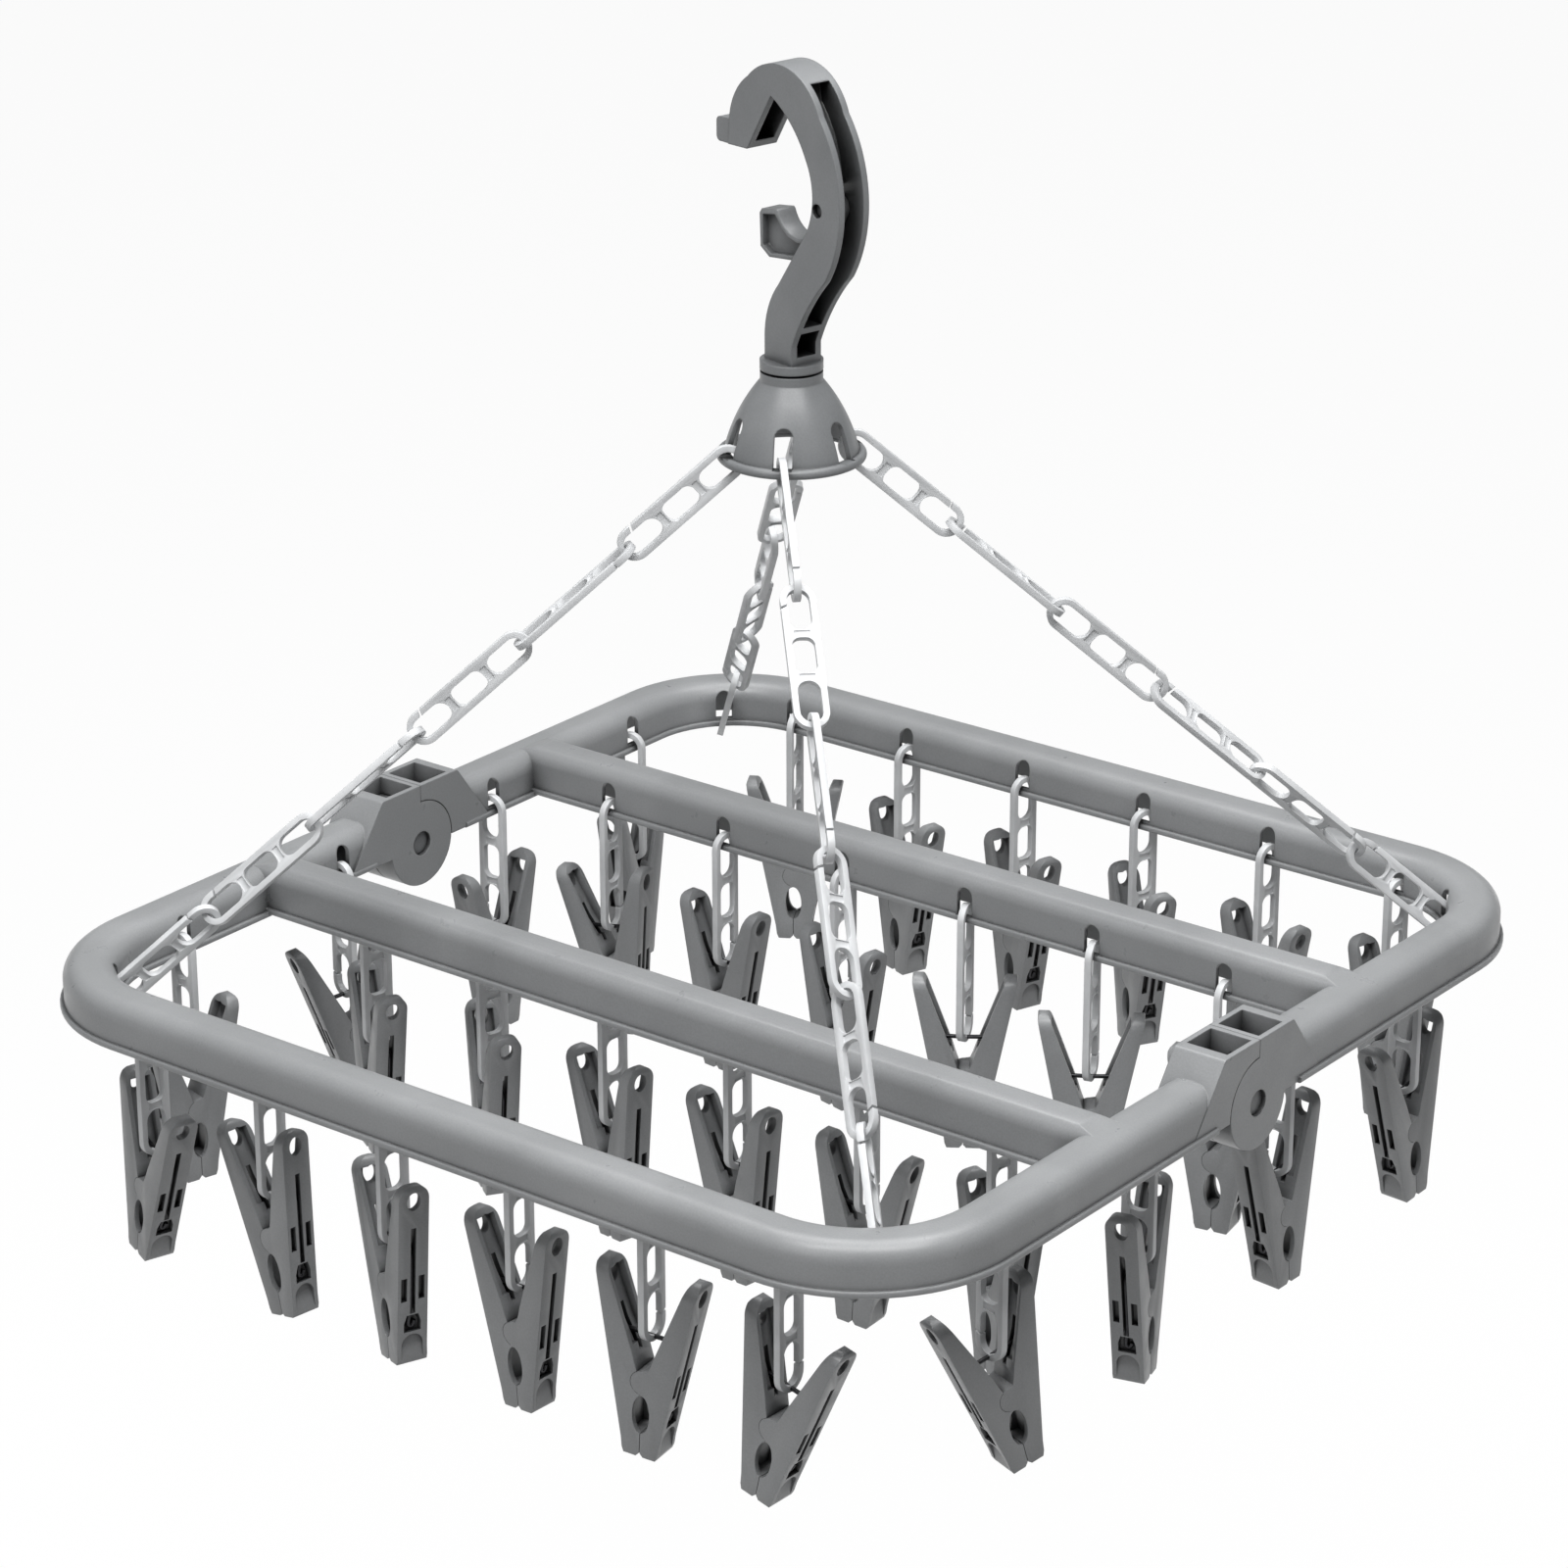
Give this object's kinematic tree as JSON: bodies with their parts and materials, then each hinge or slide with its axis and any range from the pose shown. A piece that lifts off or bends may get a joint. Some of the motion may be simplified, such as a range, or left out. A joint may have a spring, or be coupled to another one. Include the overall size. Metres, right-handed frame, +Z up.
{
  "type": "clip drying hanger",
  "caption": "Folding rectangular laundry drying frame with spring clips on ladder links, hung by chains from a latching swivel hook.",
  "frame": {"origin": "centre of the rail that the hook hangs on, under the hook's crown", "axes": "+Z up; X along the fold axis and the long bars; +Y from the front half to the rear half"},
  "size_m": [0.4246, 0.4328, 0.4457],
  "materials": {
    "bars": "matte moulded plastic",
    "hub_and_hook": "matte moulded plastic",
    "pins": "moulded plastic",
    "links": "translucent white plastic",
    "jaws": "matte moulded plastic",
    "wire": "dark spring wire"
  },
  "bodies": {
    "hook": {"hook_body": "hub_and_hook"},
    "latch": {"hook_latch": "hub_and_hook"},
    "hub": {"hub_dome": "hub_and_hook"},
    "fold_axis": {"fold_pins": "pins"},
    "front_half": {"frame_front": "bars"},
    "rear_half": {"frame_rear": "bars"},
    "front_chains": {"chains_front": "links"},
    "rear_chains": {"chains_rear": "links"},
    "front_outer_row": {"front_outer_links": "links", "front_outer_fixed_jaws": "jaws", "front_outer_springs": "wire"},
    "front_cross_row": {"front_cross_links": "links", "front_cross_fixed_jaws": "jaws", "front_cross_springs": "wire"},
    "front_mid_row": {"front_mid_links_and_fixed_jaws": "jaws", "front_mid_springs": "wire"},
    "front_end_row": {"front_end_links_and_fixed_jaws": "jaws", "front_end_springs": "wire"},
    "rear_outer_row": {"rear_outer_links": "links", "rear_outer_fixed_jaws": "jaws", "rear_outer_springs": "wire"},
    "rear_cross_row": {"rear_cross_links": "links", "rear_cross_fixed_jaws": "jaws", "rear_cross_springs": "wire"},
    "rear_mid_row": {"rear_mid_links_and_fixed_jaws": "jaws", "rear_mid_springs": "wire"},
    "rear_end_row": {"rear_end_links_and_fixed_jaws": "jaws", "rear_end_springs": "wire"},
    "front_outer_jaw_1": {"front_outer_moving_jaw_1": "jaws"},
    "front_outer_jaw_2": {"front_outer_moving_jaw_2": "jaws"},
    "front_outer_jaw_3": {"front_outer_moving_jaw_3": "jaws"},
    "front_outer_jaw_4": {"front_outer_moving_jaw_4": "jaws"},
    "front_outer_jaw_5": {"front_outer_moving_jaw_5": "jaws"},
    "front_outer_jaw_6": {"front_outer_moving_jaw_6": "jaws"},
    "front_cross_jaw_1": {"front_cross_moving_jaw_1": "jaws"},
    "front_cross_jaw_2": {"front_cross_moving_jaw_2": "jaws"},
    "front_cross_jaw_3": {"front_cross_moving_jaw_3": "jaws"},
    "front_cross_jaw_4": {"front_cross_moving_jaw_4": "jaws"},
    "front_cross_jaw_5": {"front_cross_moving_jaw_5": "jaws"},
    "front_cross_jaw_6": {"front_cross_moving_jaw_6": "jaws"},
    "front_mid_jaw_1": {"front_mid_moving_jaw_1": "jaws"},
    "front_mid_jaw_2": {"front_mid_moving_jaw_2": "jaws"},
    "front_end_jaw_1": {"front_end_moving_jaw_1": "jaws"},
    "front_end_jaw_2": {"front_end_moving_jaw_2": "jaws"},
    "rear_outer_jaw_1": {"rear_outer_moving_jaw_1": "jaws"},
    "rear_outer_jaw_2": {"rear_outer_moving_jaw_2": "jaws"},
    "rear_outer_jaw_3": {"rear_outer_moving_jaw_3": "jaws"},
    "rear_outer_jaw_4": {"rear_outer_moving_jaw_4": "jaws"},
    "rear_outer_jaw_5": {"rear_outer_moving_jaw_5": "jaws"},
    "rear_outer_jaw_6": {"rear_outer_moving_jaw_6": "jaws"},
    "rear_cross_jaw_1": {"rear_cross_moving_jaw_1": "jaws"},
    "rear_cross_jaw_2": {"rear_cross_moving_jaw_2": "jaws"},
    "rear_cross_jaw_3": {"rear_cross_moving_jaw_3": "jaws"},
    "rear_cross_jaw_4": {"rear_cross_moving_jaw_4": "jaws"},
    "rear_cross_jaw_5": {"rear_cross_moving_jaw_5": "jaws"},
    "rear_cross_jaw_6": {"rear_cross_moving_jaw_6": "jaws"},
    "rear_mid_jaw_1": {"rear_mid_moving_jaw_1": "jaws"},
    "rear_mid_jaw_2": {"rear_mid_moving_jaw_2": "jaws"},
    "rear_end_jaw_1": {"rear_end_moving_jaw_1": "jaws"},
    "rear_end_jaw_2": {"rear_end_moving_jaw_2": "jaws"}
  },
  "joints": [
    {"name": "fold_front", "type": "hinge", "parent": "fold_axis", "child": "front_half", "pos_m": [0, 0, -0.32], "axis": [1, 0, 0], "range_deg": [0, 40], "deforming": ["chains_front", "chains_rear"]},
    {"name": "latch_turn", "type": "hinge", "parent": "hook", "child": "latch", "pos_m": [0.02181, -0.00464, -0.0204], "axis": [0.2079, 0.9781, 0], "range_deg": [0, 26]},
    {"name": "hub_swivel", "type": "hinge", "parent": "hook", "child": "hub", "pos_m": [0, 0, -0.09], "axis": [0, 0, 1], "continuous": true},
    {"name": "fold_lift", "type": "slide", "parent": "hub", "child": "fold_axis", "axis": [0, 0, 1], "range_m": [0, 0.09055]},
    {"name": "fold_rear", "type": "hinge", "parent": "fold_axis", "child": "rear_half", "pos_m": [0, 0, -0.32], "axis": [-1, 0, 0], "range_deg": [0, 40.5]},
    {"name": "chains_front_swing", "type": "hinge", "parent": "hub", "child": "front_chains", "pos_m": [0, -0.02208, -0.1178], "axis": [1, 0, 0], "range_deg": [0, 11.58]},
    {"name": "chains_rear_swing", "type": "hinge", "parent": "hub", "child": "rear_chains", "pos_m": [0, 0.02208, -0.1178], "axis": [-1, 0, 0], "range_deg": [0, 11.58]},
    {"name": "front_outer_swing", "type": "hinge", "parent": "front_half", "child": "front_outer_row", "pos_m": [0, -0.1955, -0.32025], "axis": [-1, 0, 0], "range_deg": [0, 40.5]},
    {"name": "front_cross_swing", "type": "hinge", "parent": "front_half", "child": "front_cross_row", "pos_m": [0, -0.0718, -0.32025], "axis": [-1, 0, 0], "range_deg": [0, 40.5]},
    {"name": "front_mid_swing", "type": "hinge", "parent": "front_half", "child": "front_mid_row", "pos_m": [0, -0.0455, -0.3149], "axis": [-1, 0, 0], "range_deg": [0, 34.5]},
    {"name": "front_end_swing", "type": "hinge", "parent": "front_half", "child": "front_end_row", "pos_m": [0, -0.1354, -0.3149], "axis": [-1, 0, 0], "range_deg": [0, 34.5]},
    {"name": "rear_outer_swing", "type": "hinge", "parent": "rear_half", "child": "rear_outer_row", "pos_m": [0, 0.1955, -0.32025], "axis": [1, 0, 0], "range_deg": [0, 40.5]},
    {"name": "rear_cross_swing", "type": "hinge", "parent": "rear_half", "child": "rear_cross_row", "pos_m": [0, 0.0718, -0.32025], "axis": [1, 0, 0], "range_deg": [0, 40.5]},
    {"name": "rear_mid_swing", "type": "hinge", "parent": "rear_half", "child": "rear_mid_row", "pos_m": [0, 0.0455, -0.3149], "axis": [1, 0, 0], "range_deg": [0, 34.5]},
    {"name": "rear_end_swing", "type": "hinge", "parent": "rear_half", "child": "rear_end_row", "pos_m": [0, 0.1354, -0.3149], "axis": [1, 0, 0], "range_deg": [0, 34.5]},
    {"name": "front_outer_jaw_1_open", "type": "hinge", "parent": "front_outer_row", "child": "front_outer_jaw_1", "pos_m": [-0.15329, -0.19443, -0.38667], "axis": [-0.309, -0.9511, 0], "range_deg": [0, 9], "stiffness_Nm_per_rad": 0.15, "springref_deg": -20.05, "deforming": ["front_outer_springs"]},
    {"name": "front_outer_jaw_2_open", "type": "hinge", "parent": "front_outer_row", "child": "front_outer_jaw_2", "pos_m": [-0.08596, -0.19607, -0.38654], "axis": [0.1392, 0.9903, 0], "range_deg": [0, 9], "stiffness_Nm_per_rad": 0.15, "springref_deg": -20.05},
    {"name": "front_outer_jaw_3_open", "type": "hinge", "parent": "front_outer_row", "child": "front_outer_jaw_3", "pos_m": [-0.02824, -0.19621, -0.3869], "axis": [0.3746, 0.9272, 0], "range_deg": [0, 9], "stiffness_Nm_per_rad": 0.15, "springref_deg": -20.05},
    {"name": "front_outer_jaw_4_open", "type": "hinge", "parent": "front_outer_row", "child": "front_outer_jaw_4", "pos_m": [0.03126, -0.19557, -0.38696], "axis": [0.0523, 0.9986, 0], "range_deg": [0, 9], "stiffness_Nm_per_rad": 0.15, "springref_deg": -20.05},
    {"name": "front_outer_jaw_5_open", "type": "hinge", "parent": "front_outer_row", "child": "front_outer_jaw_5", "pos_m": [0.08906, -0.19563, -0.38698], "axis": [0.1392, -0.9903, 0], "range_deg": [0, 9], "stiffness_Nm_per_rad": 0.15, "springref_deg": -20.05},
    {"name": "front_outer_jaw_6_open", "type": "hinge", "parent": "front_outer_row", "child": "front_outer_jaw_6", "pos_m": [0.14592, -0.19536, -0.38654], "axis": [-0.0349, -0.9994, 0], "range_deg": [0, 9], "stiffness_Nm_per_rad": 0.15, "springref_deg": -20.05},
    {"name": "front_cross_jaw_1_open", "type": "hinge", "parent": "front_cross_row", "child": "front_cross_jaw_1", "pos_m": [-0.15, -0.0718, -0.387], "axis": [-0.5, -0.866, 0], "range_deg": [0, 9], "stiffness_Nm_per_rad": 0.15, "springref_deg": -20.05, "deforming": ["front_cross_springs"]},
    {"name": "front_cross_jaw_2_open", "type": "hinge", "parent": "front_cross_row", "child": "front_cross_jaw_2", "pos_m": [-0.09, -0.0718, -0.387], "axis": [-0.5592, -0.829, 0], "range_deg": [0, 9], "stiffness_Nm_per_rad": 0.15, "springref_deg": -20.05},
    {"name": "front_cross_jaw_3_open", "type": "hinge", "parent": "front_cross_row", "child": "front_cross_jaw_3", "pos_m": [-0.02816, -0.07226, -0.3869], "axis": [0.2419, 0.9703, 0], "range_deg": [0, 9], "stiffness_Nm_per_rad": 0.15, "springref_deg": -20.05},
    {"name": "front_cross_jaw_4_open", "type": "hinge", "parent": "front_cross_row", "child": "front_cross_jaw_4", "pos_m": [0.03157, -0.07202, -0.38693], "axis": [0.1392, 0.9903, 0], "range_deg": [0, 9], "stiffness_Nm_per_rad": 0.15, "springref_deg": -20.05},
    {"name": "front_cross_jaw_5_open", "type": "hinge", "parent": "front_cross_row", "child": "front_cross_jaw_5", "pos_m": [0.08905, -0.07185, -0.38698], "axis": [0.0523, -0.9986, 0], "range_deg": [0, 9], "stiffness_Nm_per_rad": 0.15, "springref_deg": -20.05},
    {"name": "front_cross_jaw_6_open", "type": "hinge", "parent": "front_cross_row", "child": "front_cross_jaw_6", "pos_m": [0.15, -0.0718, -0.387], "axis": [-0.342, -0.9397, 0], "range_deg": [0, 9], "stiffness_Nm_per_rad": 0.15, "springref_deg": -20.05},
    {"name": "front_mid_jaw_1_open", "type": "hinge", "parent": "front_mid_row", "child": "front_mid_jaw_1", "pos_m": [-0.19043, -0.04283, -0.38678], "axis": [-0.9397, 0.342, 0], "range_deg": [0, 9], "stiffness_Nm_per_rad": 0.15, "springref_deg": -20.05, "deforming": ["front_mid_springs"]},
    {"name": "front_mid_jaw_2_open", "type": "hinge", "parent": "front_mid_row", "child": "front_mid_jaw_2", "pos_m": [0.1914, -0.0455, -0.387], "axis": [0.9659, 0.2588, 0], "range_deg": [0, 9], "stiffness_Nm_per_rad": 0.15, "springref_deg": -20.05},
    {"name": "front_end_jaw_1_open", "type": "hinge", "parent": "front_end_row", "child": "front_end_jaw_1", "pos_m": [-0.1914, -0.1354, -0.387], "axis": [0.9659, -0.2588, 0], "range_deg": [0, 9], "stiffness_Nm_per_rad": 0.15, "springref_deg": -20.05, "deforming": ["front_end_springs"]},
    {"name": "front_end_jaw_2_open", "type": "hinge", "parent": "front_end_row", "child": "front_end_jaw_2", "pos_m": [0.19311, -0.1307, -0.3863], "axis": [-0.9397, 0.342, 0], "range_deg": [0, 9], "stiffness_Nm_per_rad": 0.15, "springref_deg": -20.05},
    {"name": "rear_outer_jaw_1_open", "type": "hinge", "parent": "rear_outer_row", "child": "rear_outer_jaw_1", "pos_m": [-0.15, 0.1955, -0.387], "axis": [0.5, -0.866, 0], "range_deg": [0, 9], "stiffness_Nm_per_rad": 0.15, "springref_deg": -20.05, "deforming": ["rear_outer_springs"]},
    {"name": "rear_outer_jaw_2_open", "type": "hinge", "parent": "rear_outer_row", "child": "rear_outer_jaw_2", "pos_m": [-0.09, 0.1955, -0.387], "axis": [-0.3256, -0.9455, 0], "range_deg": [0, 9], "stiffness_Nm_per_rad": 0.15, "springref_deg": -20.05},
    {"name": "rear_outer_jaw_3_open", "type": "hinge", "parent": "rear_outer_row", "child": "rear_outer_jaw_3", "pos_m": [-0.03, 0.1955, -0.387], "axis": [-0.342, -0.9397, 0], "range_deg": [0, 9], "stiffness_Nm_per_rad": 0.15, "springref_deg": -20.05},
    {"name": "rear_outer_jaw_4_open", "type": "hinge", "parent": "rear_outer_row", "child": "rear_outer_jaw_4", "pos_m": [0.03, 0.1955, -0.387], "axis": [-0.5, -0.866, 0], "range_deg": [0, 9], "stiffness_Nm_per_rad": 0.15, "springref_deg": -20.05},
    {"name": "rear_outer_jaw_5_open", "type": "hinge", "parent": "rear_outer_row", "child": "rear_outer_jaw_5", "pos_m": [0.09, 0.1955, -0.387], "axis": [-0.2079, -0.9781, 0], "range_deg": [0, 9], "stiffness_Nm_per_rad": 0.15, "springref_deg": -20.05},
    {"name": "rear_outer_jaw_6_open", "type": "hinge", "parent": "rear_outer_row", "child": "rear_outer_jaw_6", "pos_m": [0.15, 0.1955, -0.387], "axis": [-0.2588, -0.9659, 0], "range_deg": [0, 9], "stiffness_Nm_per_rad": 0.15, "springref_deg": -20.05},
    {"name": "rear_cross_jaw_1_open", "type": "hinge", "parent": "rear_cross_row", "child": "rear_cross_jaw_1", "pos_m": [-0.14751, 0.07224, -0.38682], "axis": [-0.1736, 0.9848, 0], "range_deg": [0, 9], "stiffness_Nm_per_rad": 0.15, "springref_deg": -20.05, "deforming": ["rear_cross_springs"]},
    {"name": "rear_cross_jaw_2_open", "type": "hinge", "parent": "rear_cross_row", "child": "rear_cross_jaw_2", "pos_m": [-0.09, 0.0718, -0.387], "axis": [-0.0872, -0.9962, 0], "range_deg": [0, 9], "stiffness_Nm_per_rad": 0.15, "springref_deg": -20.05},
    {"name": "rear_cross_jaw_3_open", "type": "hinge", "parent": "rear_cross_row", "child": "rear_cross_jaw_3", "pos_m": [-0.03, 0.0718, -0.387], "axis": [-0.2079, -0.9781, 0], "range_deg": [0, 9], "stiffness_Nm_per_rad": 0.15, "springref_deg": -20.05},
    {"name": "rear_cross_jaw_4_open", "type": "hinge", "parent": "rear_cross_row", "child": "rear_cross_jaw_4", "pos_m": [0.03, 0.0718, -0.387], "axis": [0.5592, -0.829, 0], "range_deg": [0, 9], "stiffness_Nm_per_rad": 0.15, "springref_deg": -20.05},
    {"name": "rear_cross_jaw_5_open", "type": "hinge", "parent": "rear_cross_row", "child": "rear_cross_jaw_5", "pos_m": [0.09, 0.0718, -0.387], "axis": [0.5592, -0.829, 0], "range_deg": [0, 9], "stiffness_Nm_per_rad": 0.15, "springref_deg": -20.05},
    {"name": "rear_cross_jaw_6_open", "type": "hinge", "parent": "rear_cross_row", "child": "rear_cross_jaw_6", "pos_m": [0.15, 0.0718, -0.387], "axis": [0.1736, -0.9848, 0], "range_deg": [0, 9], "stiffness_Nm_per_rad": 0.15, "springref_deg": -20.05},
    {"name": "rear_mid_jaw_1_open", "type": "hinge", "parent": "rear_mid_row", "child": "rear_mid_jaw_1", "pos_m": [-0.1914, 0.0455, -0.387], "axis": [1, 0, 0], "range_deg": [0, 9], "stiffness_Nm_per_rad": 0.15, "springref_deg": -20.05, "deforming": ["rear_mid_springs"]},
    {"name": "rear_mid_jaw_2_open", "type": "hinge", "parent": "rear_mid_row", "child": "rear_mid_jaw_2", "pos_m": [0.19151, 0.04676, -0.38696], "axis": [-0.9962, 0.0872, 0], "range_deg": [0, 9], "stiffness_Nm_per_rad": 0.15, "springref_deg": -20.05},
    {"name": "rear_end_jaw_1_open", "type": "hinge", "parent": "rear_end_row", "child": "rear_end_jaw_1", "pos_m": [-0.1914, 0.1354, -0.387], "axis": [0.9848, 0.1736, 0], "range_deg": [0, 9], "stiffness_Nm_per_rad": 0.15, "springref_deg": -20.05, "deforming": ["rear_end_springs"]},
    {"name": "rear_end_jaw_2_open", "type": "hinge", "parent": "rear_end_row", "child": "rear_end_jaw_2", "pos_m": [0.19153, 0.13729, -0.3869], "axis": [-0.9976, 0.0698, 0], "range_deg": [0, 9], "stiffness_Nm_per_rad": 0.15, "springref_deg": -20.05}
  ],
  "couplings": [
    {"joint": "fold_rear", "follows": "fold_front", "ratio": 1},
    {"joint": "fold_lift", "follows": "fold_front", "m_per_rad": 0.12899},
    {"joint": "chains_front_swing", "follows": "fold_front", "ratio": 0.28439},
    {"joint": "chains_rear_swing", "follows": "fold_front", "ratio": 0.28439},
    {"joint": "front_outer_swing", "follows": "fold_front", "ratio": 1},
    {"joint": "front_cross_swing", "follows": "fold_front", "ratio": 1},
    {"joint": "front_mid_swing", "follows": "fold_front", "ratio": 0.85},
    {"joint": "front_end_swing", "follows": "fold_front", "ratio": 0.85},
    {"joint": "rear_outer_swing", "follows": "fold_front", "ratio": 1},
    {"joint": "rear_cross_swing", "follows": "fold_front", "ratio": 1},
    {"joint": "rear_mid_swing", "follows": "fold_front", "ratio": 0.85},
    {"joint": "rear_end_swing", "follows": "fold_front", "ratio": 0.85}
  ]
}
